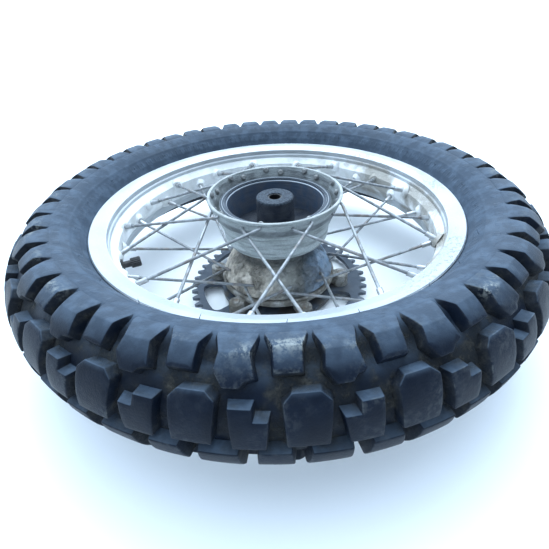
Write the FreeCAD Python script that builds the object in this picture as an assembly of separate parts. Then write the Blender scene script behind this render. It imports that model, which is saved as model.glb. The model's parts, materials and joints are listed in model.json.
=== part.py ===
import FreeCAD, Part
import math
import os

# Rear wheel of a light trail motorcycle, lying flat on its sprocket side.
# Millimetres. +Z is the spin axis and points to the brake side. The origin is
# on the spin axis, on the surface that the wheel lies on. Heights in the
# outlines below are measured from the wheel's middle plane, which is MID high.

V = FreeCAD.Vector
AXIS = V(0, 0, 1)

# ---- driving dimensions -------------------------------------------------
MID = 106.0                 # height of the wheel's middle plane

RIM_FLANGE_R = 231.3        # 17 inch rim, edge of the tyre flange
RIM_HALF_WIDTH = 35.0       # outside, half
BEAD_SEAT_R = 217.3
BEAD_HALF_GAP = 27.3        # 2.15 inch between the flanges, half
WELL_INNER_R = 203.5        # well, face towards the hub
WELL_OUTER_R = 208.0        # well, face towards the tyre
WELL_HALF_WIDTH = 12.4      # flat floor of the well, half
DIMPLE_HEIGHT = 3.0

TYRE_R = 323.0              # over the tread blocks, at the middle
TYRE_ROUND_R = 268.0        # where the tyre is widest
TYRE_HALF_WIDTH = 61.0
CARCASS_R = 312.5           # floor of the tread, at the middle
PITCHES = 48                # shoulder blocks on each side of the tyre
TREAD_PHASE = -93.75        # middle of one straight shoulder block, degrees

SPOKES_PER_SIDE = 18
SPOKE_R = 1.8
SPOKE_PHASE = 13.3          # first hub hole on the brake side, degrees
NIPPLE_R = 3.2
NIPPLE_LENGTH = 22.0
HEAD_R = 4.2
HEAD_HEIGHT = 2.8

DRUM_R = 62.5               # braking surface, 125 mm drum
DRUM_LINER_R = 66.5
DRUM_FLOOR = -3.0
DRUM_TOP = 38.8

BEARING_R = 21.0            # 6302 bearing: 15 x 42 x 13
BEARING_BORE_R = 7.5
BEARING_WIDTH = 13.0
RACE_INNER_R = 11.85
RACE_OUTER_R = 16.65
BALL_R = 3.97
BALL_PITCH_R = 14.25
BALLS = 8
BEARING_HEIGHTS = {"brake": 29.2, "middle": -41.0, "sprocket": -93.0}

TEETH = 49                  # 520 chain: 15.875 pitch, 10.16 rollers
CHAIN_PITCH = 15.875
ROLLER_R = 5.08
SPROCKET_TOP = -90.6
SPROCKET_THICKNESS = 6.0
SPROCKET_BORE_R = 62.0
SLOT_IN_R = 83.0
SLOT_OUT_R = 110.5
SLOT_SPAN = 35.0
LUGS = 6
LUG_RING_R = 90.0
LUG_PHASE = -14.0           # first lug, degrees
STUD_R = 5.0

CUSH_R = 57.0               # bore of the rubber damper housing
CUSH_FLOOR = -38.0
CUSH_MOUTH = -68.0
VANE_THICKNESS = 8.0
RIB_THICKNESS = 7.0
CUSH_PLAY = 1.6             # free gap beside each vane

VALVE_ANGLE = 198.6
STEM_R = 4.0


# ---- helpers ---------------------------------------------------------------
def at(radius, height):
    """Point of an outline: distance from the axis, height over the middle."""
    return V(radius, 0, height + MID)


def outline(points):
    """Closed wire. A tuple is a corner, a pair in a list is an arc: (via, end)."""
    edges = []
    here = at(*points[0])
    for item in points[1:] + [points[0]]:
        if isinstance(item, list):
            via, end = at(*item[0]), at(*item[1])
            edges.append(Part.Arc(here, via, end).toShape())
        else:
            end = at(*item)
            edges.append(Part.LineSegment(here, end).toShape())
        here = end
    return Part.Wire(edges)


def turned(points, angle=360.0):
    """Solid of revolution about the spin axis."""
    return Part.Face(outline(points)).revolve(V(0, 0, 0), AXIS, angle)


def tube(inner, outer, low, high):
    """Plain ring between two radii and two heights."""
    return turned([(inner, low), (outer, low), (outer, high), (inner, high)])


def rod(start, end, radius):
    """Cylinder between two points."""
    line = end.sub(start)
    return Part.makeCylinder(radius, line.Length, start, line)


def polar(radius, angle, height):
    """Point at a radius, an angle in degrees and a height over the middle."""
    turn = math.radians(angle)
    return V(radius * math.cos(turn), radius * math.sin(turn), height + MID)


def spun(shape, angle):
    """Copy of a shape, turned about the spin axis."""
    copy = shape.copy()
    copy.rotate(V(0, 0, 0), AXIS, angle)
    return copy


def ring_of(shape, count, first=0.0):
    """Equal copies round the spin axis."""
    return [spun(shape, first + 360.0 * i / count) for i in range(count)]


def block(inner, outer, width, low, high):
    """Bar along +X, between two radii."""
    return Part.makeBox(outer - inner, width, high - low, V(inner, -width / 2, low + MID))


def hexagon(across_flats, low, high, radius, angle):
    """Hexagonal prism standing at a radius and an angle."""
    corner = across_flats / math.sqrt(3)
    centre = polar(radius, angle, low)
    turns = [math.radians(60 * i + angle) for i in range(7)]
    points = [centre + V(corner * math.cos(t), corner * math.sin(t), 0) for t in turns]
    return Part.Face(Part.makePolygon(points)).extrude(V(0, 0, high - low))


def save(name, shapes):
    """Write one node: a solid, or a group of separate solids."""
    whole = shapes[0] if len(shapes) == 1 else Part.makeCompound(shapes)
    whole.exportStep("parts/" + name + ".step")
    print(name, len(whole.Solids), round(whole.Volume), whole.isValid())


# ---- spokes ------------------------------------------------------------------
class Spoke:
    """One of the four kinds of spoke: side of the hub and way round."""

    def __init__(self, name, first, turn, wall, slope, hole, leg, rim_height):
        self.name = name
        self.first = first
        self.turn = turn
        out, up = slope
        self.normal = V(out, 0, up)
        self.wall = polar(wall, 0, hole)
        self.leg = leg
        self.elbow = self.wall + self.normal * (SPOKE_R + 0.6)
        self.rim_point = polar(WELL_OUTER_R, turn, rim_height)
        self.line = self.rim_point.sub(self.elbow).normalize()

    def head_point(self):
        """Inner end of the short leg that goes through the hub's wall."""
        return self.wall - self.normal * self.leg

    def solid(self):
        """Head, short leg, elbow and long straight run."""
        leg = rod(self.head_point(), self.elbow, SPOKE_R)
        head = Part.makeCone(HEAD_R * 0.6, HEAD_R, HEAD_HEIGHT, self.head_point(), self.normal)
        run = rod(self.elbow, self.rim_point - self.line * 8.0, SPOKE_R)
        bend = Part.makeSphere(SPOKE_R, self.elbow)
        return leg.fuse([head, bend, run]).removeSplitter()

    def hub_hole(self):
        """Drilling through the hub's wall, with a little clearance."""
        return rod(self.head_point(), self.elbow + self.normal * 3.0, SPOKE_R + 0.3)

    def rim_hole(self):
        """Drilling through the rim for the nipple."""
        inner = self.rim_point - self.line * 14.0
        outer = self.rim_point + self.line * 6.0
        return rod(inner, outer, NIPPLE_R + 0.25)

    def dimple(self):
        """Raised cone on the rim that squares the nipple to the spoke."""
        base = self.rim_point - self.line * 2.0
        length = WELL_OUTER_R - WELL_INNER_R + DIMPLE_HEIGHT - 2.0
        return Part.makeCone(10.0, 6.2, length, base, self.line * -1.0)

    def nipple(self):
        """Long shank towards the hub, square end and flat head in the well."""
        seat = self.rim_point + self.line * 2.2
        shank = rod(seat - self.line * NIPPLE_LENGTH, seat + self.line * 0.5, NIPPLE_R)
        head = rod(seat, seat + self.line * 2.0, NIPPLE_R + 1.3)
        bore = rod(seat - self.line * (NIPPLE_LENGTH + 1), self.rim_point - self.line * 7.7, SPOKE_R + 0.02)
        return shank.fuse(head).cut(bore)


BRAKE_WALL = (0.926, -0.377)      # outward direction square to the cup's wall
SPROCKET_WALL = (0.894, 0.447)    # outward direction square to the skirt's wall
SPOKE_KINDS = [
    Spoke("brake_leading", SPOKE_PHASE + 25.0, 35.7, 84.0, BRAKE_WALL, 41.2, 7.2, 3.5),
    Spoke("brake_trailing", SPOKE_PHASE, -38.0, 85.6, BRAKE_WALL, 45.2, 7.2, 8.0),
    Spoke("sprocket_leading", SPOKE_PHASE + 16.0, 34.0, 73.3, SPROCKET_WALL, -57.0, 8.0, -8.0),
    Spoke("sprocket_trailing", SPOKE_PHASE - 16.0, -34.0, 71.0, SPROCKET_WALL, -52.0, 8.1, -3.5),
]


# ---- hub ---------------------------------------------------------------------
def hub_body():
    """Drum with spoke cup above, neck, then the skirt over the damper housing."""
    return turned([
        (BEARING_R, 42.6), (23.6, 42.6), (24.3, 41.9), (25.5, DRUM_FLOOR),
        (DRUM_LINER_R, DRUM_FLOOR), (DRUM_LINER_R, 40.0), (71.3, 40.0), (72.3, 39.0),
        (72.3, 27.0), [(73.6, 25.3), (75.6, 27.0)], (82.7, 47.0), (83.2, 50.0),
        [(84.9, 50.6), (86.6, 50.0)], (86.6, 48.0), (82.0, 36.0), (76.0, 22.0),
        (70.6, 8.0), (70.0, -3.0), [(67.5, -9.5), (61.0, -13.0)], (52.0, -16.5),
        (50.6, -19.0), (51.8, -20.5), (51.8, -22.5), (50.6, -24.0), (50.6, -26.0),
        (51.8, -27.5), (51.8, -29.5), (54.0, -32.5), (60.0, -38.0), (66.0, -44.0),
        (72.0, -54.0), (77.0, -65.0), (77.0, -67.0), (76.0, CUSH_MOUTH), (73.6, CUSH_MOUTH),
        (72.6, -66.0), (63.9, -49.0), (62.2, -48.2), (62.2, CUSH_MOUTH),
        (CUSH_R, CUSH_MOUTH), (CUSH_R, CUSH_FLOOR), (27.0, CUSH_FLOOR), (27.0, -44.0),
        (BEARING_R, -44.0), (BEARING_R, -28.0), (16.0, -28.0), (16.0, 29.2),
        (BEARING_R, 29.2),
    ])


def make_hub():
    """Hub casting with its spoke holes and the ribs of the damper housing."""
    rib = block(24.5, CUSH_R + 2.0, RIB_THICKNESS, -62.0, CUSH_FLOOR + 2.0)
    rib = rib.cut(tube(0.5, 26.0, -63.0, CUSH_FLOOR + 3.0))
    ribs = ring_of(rib, LUGS, LUG_PHASE + 30.0)
    holes = []
    for kind in SPOKE_KINDS:
        holes += ring_of(kind.hub_hole(), SPOKES_PER_SIDE // 2, kind.first)
    return hub_body().fuse(ribs).cut(Part.makeCompound(holes))


def make_liner():
    """Cast iron braking ring, with two shallow grooves at its mouth."""
    return turned([
        (DRUM_R, DRUM_FLOOR), (DRUM_LINER_R, DRUM_FLOOR), (DRUM_LINER_R, DRUM_TOP),
        (65.2, DRUM_TOP), (65.2, DRUM_TOP - 1.2), (64.2, DRUM_TOP - 1.2),
        (64.2, DRUM_TOP - 0.6), (63.2, DRUM_TOP - 0.6), (DRUM_R, DRUM_TOP - 1.4),
    ])


def make_cush_rubbers():
    """Rubber blocks between the hub's ribs and the driven flange's vanes."""
    low, high = -60.0, CUSH_FLOOR - 0.5
    ring = tube(30.5, CUSH_R - 0.6, low, high)
    half_vane = VANE_THICKNESS / 2 + CUSH_PLAY
    half_rib = RIB_THICKNESS / 2 + 0.2
    rubbers = []
    for i in range(2 * LUGS):
        vane = LUG_PHASE + 60.0 * (i // 2)
        side = 1 if i % 2 else -1
        sector = Part.makeCylinder(70.0, high - low, V(0, 0, low + MID), AXIS, 30.0)
        sector = spun(sector, vane if side > 0 else vane - 30.0)
        keep_off_vane = spun(block(0.0, 75.0, 2 * half_vane, low - 1, high + 1), vane)
        keep_off_rib = spun(block(0.0, 75.0, 2 * half_rib, low - 1, high + 1), vane + 30.0 * side)
        rubbers.append(ring.common(sector).cut(keep_off_vane).cut(keep_off_rib))
    return rubbers


# ---- bearings and axle parts ---------------------------------------------------
def race_groove(height):
    """Ball track shared by both rings of a bearing."""
    middle = height + BEARING_WIDTH / 2
    return Part.makeTorus(BALL_PITCH_R, BALL_R + 0.06, V(0, 0, middle + MID), AXIS)


def make_inner_ring(height):
    """Bearing ring that stays still on the axle."""
    top = height + BEARING_WIDTH
    return tube(BEARING_BORE_R, RACE_INNER_R, height, top).cut(race_groove(height))


def make_outer_ring(height):
    """Bearing ring that is pressed into the hub or the flange."""
    top = height + BEARING_WIDTH
    return tube(RACE_OUTER_R, BEARING_R, height, top).cut(race_groove(height))


def make_balls(height):
    """Ball set of one bearing."""
    centre = polar(BALL_PITCH_R, 0, height + BEARING_WIDTH / 2)
    return ring_of(Part.makeSphere(BALL_R, centre), BALLS)


def make_cage(height):
    """Ring with one pocket for each ball."""
    middle = height + BEARING_WIDTH / 2
    ring = tube(BALL_PITCH_R - 1.0, BALL_PITCH_R + 1.0, middle - 4.8, middle + 4.8)
    pocket = rod(polar(BALL_PITCH_R - 3.0, 0, middle), polar(BALL_PITCH_R + 3.0, 0, middle), BALL_R + 0.12)
    return ring.cut(Part.makeCompound(ring_of(pocket, BALLS)))


def make_spacer(low, high):
    """Distance tube between two bearings."""
    return tube(BEARING_BORE_R, 10.5, low, high)


def make_collar():
    """Polished collar that the oil seal runs on, chamfered at its free end."""
    return turned([(BEARING_BORE_R, -93.0), (12.0, -93.0), (12.0, -103.4),
                   (11.4, -104.0), (BEARING_BORE_R, -104.0)])


def make_oil_seal():
    """Rubber seal with an inner lip on the collar."""
    return turned([
        (BEARING_R, -93.6), (BEARING_R, -100.0), (14.0, -100.0), (12.06, -98.6),
        (12.06, -97.6), (14.0, -97.0), (18.5, -97.0), (18.5, -93.6),
    ])


# ---- driven flange and sprocket ---------------------------------------------------
def make_flange():
    """Carrier of the sprocket, with vanes inside the hub and six stud bosses."""
    body = turned([
        (15.0, -50.0), (23.0, -50.0), (23.0, -69.6), (78.5, -69.6), (80.0, -71.1),
        (80.0, -76.5), (78.5, -78.0), (61.7, -78.0), (61.7, -94.0), (55.0, -94.0),
        (55.0, -78.0), (30.0, -78.0), (28.5, -101.0), (BEARING_R, -101.0),
        (BEARING_R, -80.0), (15.0, -80.0),
    ])
    vane = block(22.0, 54.5, VANE_THICKNESS, -70.0, -41.0)
    vane = vane.cut(tube(0.5, 22.5, -72.0, -49.9)).cut(tube(0.5, 29.0, -50.5, -40.0))
    arm = block(72.0, LUG_RING_R, 15.0, -88.0, -73.5)
    boss = Part.makeCone(11.0, 10.2, SPROCKET_TOP * -1 - 73.0, polar(LUG_RING_R, 0, SPROCKET_TOP), AXIS)
    parts = []
    for piece in (vane, arm, boss):
        parts += ring_of(piece, LUGS, LUG_PHASE)
    hole = rod(polar(LUG_RING_R, 0, -70.0), polar(LUG_RING_R, 0, -92.0), STUD_R + 0.02)
    return body.fuse(parts).cut(Part.makeCompound(ring_of(hole, LUGS, LUG_PHASE)))


def tooth_gap(pitch_r):
    """Space between two teeth: a roller seat that opens outwards."""
    low = SPROCKET_TOP - SPROCKET_THICKNESS - 1
    height = SPROCKET_THICKNESS + 2
    seat = Part.makeCylinder(ROLLER_R + 0.1, height, polar(pitch_r, 0, low), AXIS)
    flare = math.radians(20)
    reach = 14.0
    near = [(pitch_r, -ROLLER_R), (pitch_r, ROLLER_R)]
    wide = ROLLER_R + reach * math.tan(flare)
    corners = [near[0], (pitch_r + reach, -wide), (pitch_r + reach, wide), near[1], near[0]]
    mouth = Part.Face(Part.makePolygon([V(x, y, low + MID) for x, y in corners]))
    return seat.fuse(mouth.extrude(V(0, 0, height)))


def slot_cutter():
    """One long curved lightening slot, with round ends."""
    low = SPROCKET_TOP - SPROCKET_THICKNESS - 1
    half = SLOT_SPAN / 2
    outline_2d = Part.makeCylinder(SLOT_OUT_R, SPROCKET_THICKNESS + 2, V(0, 0, low + MID), AXIS, 2 * half)
    inner = Part.makeCylinder(SLOT_IN_R, SPROCKET_THICKNESS + 2, V(0, 0, low + MID), AXIS)
    sector = spun(outline_2d, -half).cut(inner)
    uprights = [e for e in sector.Edges if abs(e.tangentAt(e.FirstParameter).z) > 0.99]
    return sector.makeFillet(9.0, uprights)


def make_sprocket():
    """Steel sprocket with bevelled teeth, six slots and six stud holes."""
    pitch_r = CHAIN_PITCH / 2 / math.sin(math.pi / TEETH)
    tip_r = CHAIN_PITCH / 2 * (0.6 + 1 / math.tan(math.pi / TEETH))
    low = SPROCKET_TOP - SPROCKET_THICKNESS
    bevel = 1.2
    disc = turned([
        (SPROCKET_BORE_R, low), (tip_r - 8.0, low), (tip_r, low + bevel),
        (tip_r, SPROCKET_TOP - bevel), (tip_r - 8.0, SPROCKET_TOP), (SPROCKET_BORE_R, SPROCKET_TOP),
    ])
    gaps = ring_of(tooth_gap(pitch_r), TEETH, 180.0 / TEETH)
    slots = ring_of(slot_cutter(), LUGS, LUG_PHASE + 30.0)
    hole = rod(polar(LUG_RING_R, 0, low - 1), polar(LUG_RING_R, 0, SPROCKET_TOP + 1), STUD_R + 0.25)
    holes = ring_of(hole, LUGS, LUG_PHASE)
    return disc.cut(Part.makeCompound(gaps)).cut(Part.makeCompound(slots + holes))


def make_studs():
    """Studs, rounded at the visible end above each boss."""
    low = -MID
    stud = rod(polar(LUG_RING_R, 0, low), polar(LUG_RING_R, 0, -71.4), STUD_R)
    stud = stud.makeChamfer(0.8, [e for e in stud.Edges if len(e.Vertexes) == 1])
    return ring_of(stud, LUGS, LUG_PHASE)


def make_nuts():
    """Hexagon nuts under the sprocket."""
    high = SPROCKET_TOP - SPROCKET_THICKNESS - 1.0
    bore = rod(polar(LUG_RING_R, LUG_PHASE, high - 9), polar(LUG_RING_R, LUG_PHASE, high + 1), STUD_R + 0.02)
    nut = hexagon(16.0, high - 7.6, high, LUG_RING_R, LUG_PHASE).cut(bore)
    return ring_of(nut, LUGS)


def make_lock_plates():
    """Folded steel plates, each under two nuts."""
    high = SPROCKET_TOP - SPROCKET_THICKNESS
    half = LUG_RING_R * math.sin(math.radians(30))
    middle = LUG_RING_R * math.cos(math.radians(30))
    plate = Part.makeBox(13.0, 2 * half, 1.0, V(middle - 6.5, -half, high - 1.0 + MID))
    ends = [rod(polar(LUG_RING_R, a, high - 1.0), polar(LUG_RING_R, a, high), 9.0) for a in (-30, 30)]
    holes = [rod(polar(LUG_RING_R, a, high - 2.0), polar(LUG_RING_R, a, high + 1), STUD_R + 0.25) for a in (-30, 30)]
    plate = plate.fuse(ends).removeSplitter().cut(holes)
    return ring_of(plate, 3, LUG_PHASE + 30.0)


# ---- rim, tube and tyre ---------------------------------------------------------------
def mirrored(points):
    """An outline given for the upper half, completed below the middle plane."""
    return points + [(r, -z) for r, z in reversed(points)]


def make_rim():
    """Alloy rim with a dimple and a drilling for each nipple, and the valve hole."""
    hub_face = [(WELL_INNER_R, 9.0), (210.4, 17.5), (210.4, 22.0), (212.0, 23.5), (212.0, 30.0)]
    edge = [(222.0, 33.2), (230.0, RIM_HALF_WIDTH), (RIM_FLANGE_R, 34.0), (RIM_FLANGE_R, 32.0), (229.0, 29.0)]
    tyre_face = [(221.0, BEAD_HALF_GAP), (BEAD_SEAT_R, BEAD_HALF_GAP), (BEAD_SEAT_R, 18.6), (WELL_OUTER_R, WELL_HALF_WIDTH)]
    half = hub_face + edge + tyre_face
    lower = [(r, -z) for r, z in half]
    rim = turned(half + lower[::-1])
    dimples, holes = [], []
    for kind in SPOKE_KINDS:
        dimples += ring_of(kind.dimple(), SPOKES_PER_SIDE // 2, kind.first)
        holes += ring_of(kind.rim_hole(), SPOKES_PER_SIDE // 2, kind.first)
    valve_hole = rod(polar(195.0, VALVE_ANGLE, 0), polar(215.0, VALVE_ANGLE, 0), 6.2)
    clear = tube(WELL_OUTER_R, 225.0, -WELL_HALF_WIDTH, WELL_HALF_WIDTH)
    dimples = [dimple.cut(clear) for dimple in dimples]
    return rim.fuse(dimples).cut(Part.makeCompound(holes + [valve_hole]))


def make_rim_tape():
    """Rubber band over the nipple heads."""
    band = turned([(214.0, -9.8), (215.6, -9.8), (215.6, 9.8), (214.0, 9.8)])
    return band.cut(rod(polar(210.0, VALVE_ANGLE, 0), polar(218.0, VALVE_ANGLE, 0), STEM_R + 0.4))


def make_carcass():
    """Tyre without its blocks: beads, bulging walls and the floor of the tread."""
    widest = TYRE_HALF_WIDTH - 1.0
    shoulder = (TYRE_ROUND_R + (CARCASS_R - TYRE_ROUND_R) * 0.72, widest * 0.72)
    inside = [(218.0, 13.0), (226.0, 17.0), [(250.0, 46.0), (TYRE_ROUND_R, 53.5)],
              [(296.0, 40.0), (305.0, 0.0)], [(296.0, -40.0), (TYRE_ROUND_R, -53.5)],
              [(250.0, -46.0), (226.0, -17.0)], (218.0, -13.0)]
    outside = [(218.0, -26.8), (227.5, -27.9), (229.6, -29.0), (233.0, -33.0), (233.4, -36.0),
               [(247.0, -53.5), (TYRE_ROUND_R, -widest)],
               [(shoulder[0], -shoulder[1]), (CARCASS_R, 0.0)], [shoulder, (TYRE_ROUND_R, widest)],
               [(247.0, 53.5), (233.4, 36.0)], (233.0, 33.0), (229.6, 29.0), (227.5, 27.9), (218.0, 26.8)]
    return turned(inside + outside)


def tread_shell():
    """Ring between the floor of the tread and the top of the blocks."""
    low, high = CARCASS_R - 3.5, TYRE_R
    sides = TYRE_HALF_WIDTH - 4.5
    slope = 0.70
    top = (TYRE_ROUND_R + (high - TYRE_ROUND_R) * slope, TYRE_HALF_WIDTH * slope)
    floor = (TYRE_ROUND_R + (low - TYRE_ROUND_R) * slope, sides * slope)
    return turned([
        (TYRE_ROUND_R, sides), [floor, (low, 0.0)], (high, 0.0), [top, (TYRE_ROUND_R, TYRE_HALF_WIDTH)],
    ])


def tread_point(across, around):
    """Point on top of the blocks: angle across the tyre, angle round the wheel."""
    lean = math.radians(across)
    radius = TYRE_ROUND_R + (TYRE_R - TYRE_ROUND_R) * math.cos(lean)
    return polar(radius, around, TYRE_HALF_WIDTH * math.sin(lean))


def tread_block(shell, corners):
    """Block of the tread with flat sides, cut from the ring of tread rubber."""
    across = sum(corner[0] for corner in corners) / len(corners)
    around = sum(corner[1] for corner in corners) / len(corners)
    lean, turn = math.radians(across), math.radians(around)
    flat = math.cos(lean)
    normal = V(flat * math.cos(turn), flat * math.sin(turn), math.sin(lean))
    centre = tread_point(across, around)
    base = []
    for corner in corners:
        point = tread_point(*corner)
        base.append(point - normal * ((point - centre).dot(normal) + 20.0))
    return shell.common(Part.Face(Part.makePolygon(base + base[:1])).extrude(normal * 40.0))


def tread_blocks(shell, pitch, flipped):
    """Two shoulder and two centre blocks of one repeat of the tread."""
    wide = pitch * 0.33
    kinds = [
        [(78.0, -wide), (78.0, wide), (57.0, wide), (57.0, -wide)],
        [(75.0, pitch - wide), (75.0, pitch + wide), (54.0, pitch + wide),
         (47.0, pitch), (54.0, pitch - wide)],
        [(45.0, -wide * 0.8), (45.0, wide * 0.8), (36.0, wide * 1.2), (10.0, wide * 1.1),
         (10.0, -wide * 1.1), (36.0, -wide * 1.2)],
        [(36.0, pitch - wide), (36.0, pitch + wide * 0.6), (6.0, pitch + wide * 0.8),
         (6.0, pitch - wide * 0.8)],
    ]
    if flipped:
        kinds = [[(across, pitch - around) for across, around in kind] for kind in kinds]
    blocks = [tread_block(shell, corners) for corners in kinds]
    if flipped:
        blocks = [piece.mirror(V(0, 0, MID), AXIS) for piece in blocks]
    return blocks


def make_tyre():
    """Carcass with its blocks: one repeat of the tread, copied round and joined."""
    pitch = 360.0 / PITCHES
    wedge = Part.makeCylinder(TYRE_R + 50.0, 3 * MID, V(0, 0, -MID), AXIS, 2 * pitch)
    wedge = spun(wedge, -pitch / 2)
    shell = tread_shell().common(wedge)
    blocks = tread_blocks(shell, pitch, False) + tread_blocks(shell, pitch, True)
    repeat = make_carcass().common(wedge).fuse(blocks)
    around = ring_of(repeat, PITCHES // 2, TREAD_PHASE)
    return around[0].fuse(around[1:]).removeSplitter()


def make_inner_tube():
    """Inflated rubber tube inside the tyre."""
    outside = [(216.0, -10.0), (219.0, -11.3), (227.5, -15.5), [(251.0, -44.0), (TYRE_ROUND_R, -51.5)],
               [(294.0, -38.0), (303.0, 0.0)], [(294.0, 38.0), (TYRE_ROUND_R, 51.5)],
               [(251.0, 44.0), (227.5, 15.5)], (219.0, 11.3), (216.0, 10.0)]
    inside = [(218.4, -8.0), (220.0, -9.2), (229.0, -13.5), [(252.0, -41.5), (TYRE_ROUND_R, -49.0)],
              [(292.0, -36.0), (300.4, 0.0)], [(292.0, 36.0), (TYRE_ROUND_R, 49.0)],
              [(252.0, 41.5), (229.0, 13.5)], (220.0, 9.2), (218.4, 8.0)]
    return turned(outside).cut(turned(inside))


# ---- valve -----------------------------------------------------------------------------
def valve_rod(inner, outer, radius):
    """Cylinder on the valve's axis, between two distances from the spin axis."""
    return rod(polar(inner, VALVE_ANGLE, 0), polar(outer, VALVE_ANGLE, 0), radius)


def make_valve_stem():
    """Threaded stem, bored for the core, with its foot against the tube."""
    stem = valve_rod(190.0, 215.6, STEM_R).fuse(valve_rod(185.0, 190.5, 3.6))
    return stem.cut(valve_rod(184.0, 206.0, 2.2))


def make_grommet():
    """Rubber ring that keeps mud out of the valve hole."""
    ring = valve_rod(201.6, 207.6, 6.0).fuse(valve_rod(200.4, 202.6, 7.6))
    ring = ring.cut(valve_rod(199.0, 209.0, STEM_R + 0.02))
    return ring.cut(tube(202.9, 207.9, -20.0, 20.0).cut(valve_rod(198.0, 210.0, 6.1)))


def make_valve_core():
    """Brass insert that guides the pin."""
    return valve_rod(187.0, 202.0, 2.15).cut(valve_rod(186.0, 203.0, 0.95))


def make_valve_pin():
    """Pin that is pushed in to let air out."""
    return valve_rod(184.4, 200.4, 0.75).fuse(valve_rod(184.4, 185.2, 1.2))


def make_valve_cap():
    """Ribbed screw cap."""
    cap = valve_rod(180.5, 192.5, 5.4)
    rib = valve_rod(181.3, 192.0, 0.75)
    ribs = []
    for i in range(16):
        turn = math.radians(360.0 * i / 16)
        side = polar(5.4, VALVE_ANGLE + 90.0, -MID) * math.cos(turn)
        ribs.append(rib.translated(side + V(0, 0, 5.4 * math.sin(turn))))
    hollow = valve_rod(182.5, 190.2, 3.9).fuse(valve_rod(189.9, 193.5, STEM_R + 0.3))
    return cap.fuse(ribs).cut(hollow)


# ---- write every node ----------------------------------------------------------------------
os.makedirs("parts", exist_ok=True)

for place, low_face in BEARING_HEIGHTS.items():
    save("bearing_inner_ring_" + place, [make_inner_ring(low_face)])
    save("bearing_outer_ring_" + place, [make_outer_ring(low_face)])
    save("bearing_balls_" + place, make_balls(low_face))
    save("bearing_cage_" + place, [make_cage(low_face)])

save("hub_spacer_tube", [make_spacer(BEARING_HEIGHTS["middle"] + BEARING_WIDTH, BEARING_HEIGHTS["brake"])])
save("flange_spacer", [make_spacer(BEARING_HEIGHTS["sprocket"] + BEARING_WIDTH, BEARING_HEIGHTS["middle"])])
save("axle_collar", [make_collar()])
save("oil_seal", [make_oil_seal()])
save("hub_shell", [make_hub()])
save("brake_drum_liner", [make_liner()])
save("cush_rubbers", make_cush_rubbers())
save("driven_flange", [make_flange()])
save("sprocket", [make_sprocket()])
save("sprocket_studs", make_studs())
save("sprocket_nuts", make_nuts())
save("sprocket_lock_plates", make_lock_plates())

for kind in SPOKE_KINDS:
    save("spokes_" + kind.name, ring_of(kind.solid(), SPOKES_PER_SIDE // 2, kind.first))
    save("nipples_" + kind.name, ring_of(kind.nipple(), SPOKES_PER_SIDE // 2, kind.first))

save("rim", [make_rim()])
save("rim_tape", [make_rim_tape()])
save("inner_tube", [make_inner_tube()])
save("tyre", [make_tyre()])
save("valve_stem", [make_valve_stem()])
save("valve_grommet", [make_grommet()])
save("valve_core", [make_valve_core()])
save("valve_pin", [make_valve_pin()])
save("valve_cap", [make_valve_cap()])
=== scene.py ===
import bpy
import json
import math
import random
from mathutils import Matrix, Vector, geometry


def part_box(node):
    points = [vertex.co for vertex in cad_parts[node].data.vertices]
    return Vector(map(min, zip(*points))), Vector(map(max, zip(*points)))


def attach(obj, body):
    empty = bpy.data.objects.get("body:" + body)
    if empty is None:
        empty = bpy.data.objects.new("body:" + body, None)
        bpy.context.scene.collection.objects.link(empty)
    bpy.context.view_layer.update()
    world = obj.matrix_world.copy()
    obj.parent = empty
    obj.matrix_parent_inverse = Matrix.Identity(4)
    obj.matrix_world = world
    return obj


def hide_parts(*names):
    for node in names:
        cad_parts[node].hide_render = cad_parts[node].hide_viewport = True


# Looks of a spoked motorcycle wheel that lies flat on its sprocket side. Metres, +Z up the
# spin axis to the brake side. Block and tread outlines are in millimetres and degrees.

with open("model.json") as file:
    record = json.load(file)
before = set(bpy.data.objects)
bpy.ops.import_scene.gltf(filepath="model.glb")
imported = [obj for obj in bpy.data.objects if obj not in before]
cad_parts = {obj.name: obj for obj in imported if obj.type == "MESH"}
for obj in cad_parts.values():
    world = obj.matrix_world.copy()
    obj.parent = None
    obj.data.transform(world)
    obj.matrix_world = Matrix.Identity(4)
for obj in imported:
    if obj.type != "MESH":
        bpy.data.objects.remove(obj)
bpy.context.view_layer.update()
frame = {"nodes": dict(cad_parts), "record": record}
nodes = frame["nodes"]
random.seed(11)

MM = 0.001
tyre_low, tyre_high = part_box("tyre")
MID = (tyre_low.z + tyre_high.z) / 2          # height of the wheel's middle plane
TYRE_R = tyre_high.x                          # over the tread blocks
HALF_WIDTH = (tyre_high.z - tyre_low.z) / 2
ROUND_R = 0.268                               # where the tyre is widest
CROWN = TYRE_R - ROUND_R                      # from the widest place out to the crown
BEAD = 0.0429                                 # from the widest place in to the bead
TREAD_DEPTH = 0.0105
PITCH = 7.5                                   # degrees from one shoulder block to the next
SHOULDER_PAIRS = 24                           # a straight and a pointed shoulder block each
FOOT = 0.0015                                 # how far a block's foot is sunk in the carcass
TOP_WEAR = 0.05                               # scuffing of the flat of a block
RIDGE = 0.0038                                # height of the crease across a shoulder block
WALL_STEPS = 72                               # steps from the crown to a bead
TURN_STEPS = 288                              # steps round the carcass
BEAD_ANGLE = 143.0                            # where the outer skin stops, degrees across
TREAD_PHASE = -93.75                          # middle of one straight shoulder block
HAIRS = 48                                    # moulding hairs on the side walls
HAIR_SIDES = 6
HAIR_RINGS = 4
HAIR_R = 0.00045


# ---- mesh helpers ------------------------------------------------------------------------
def add_piece(name, verts, faces, body, material, smooth=True):
    """A new mesh object that rides on a CAD body."""
    mesh = bpy.data.meshes.new(name)
    mesh.from_pydata([tuple(v) for v in verts], [], faces)
    mesh.validate()
    mesh.polygons.foreach_set("use_smooth", [smooth] * len(mesh.polygons))
    mesh.materials.append(material)
    piece = bpy.data.objects.new(name, mesh)
    bpy.context.scene.collection.objects.link(piece)
    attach(piece, body)
    return piece


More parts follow.
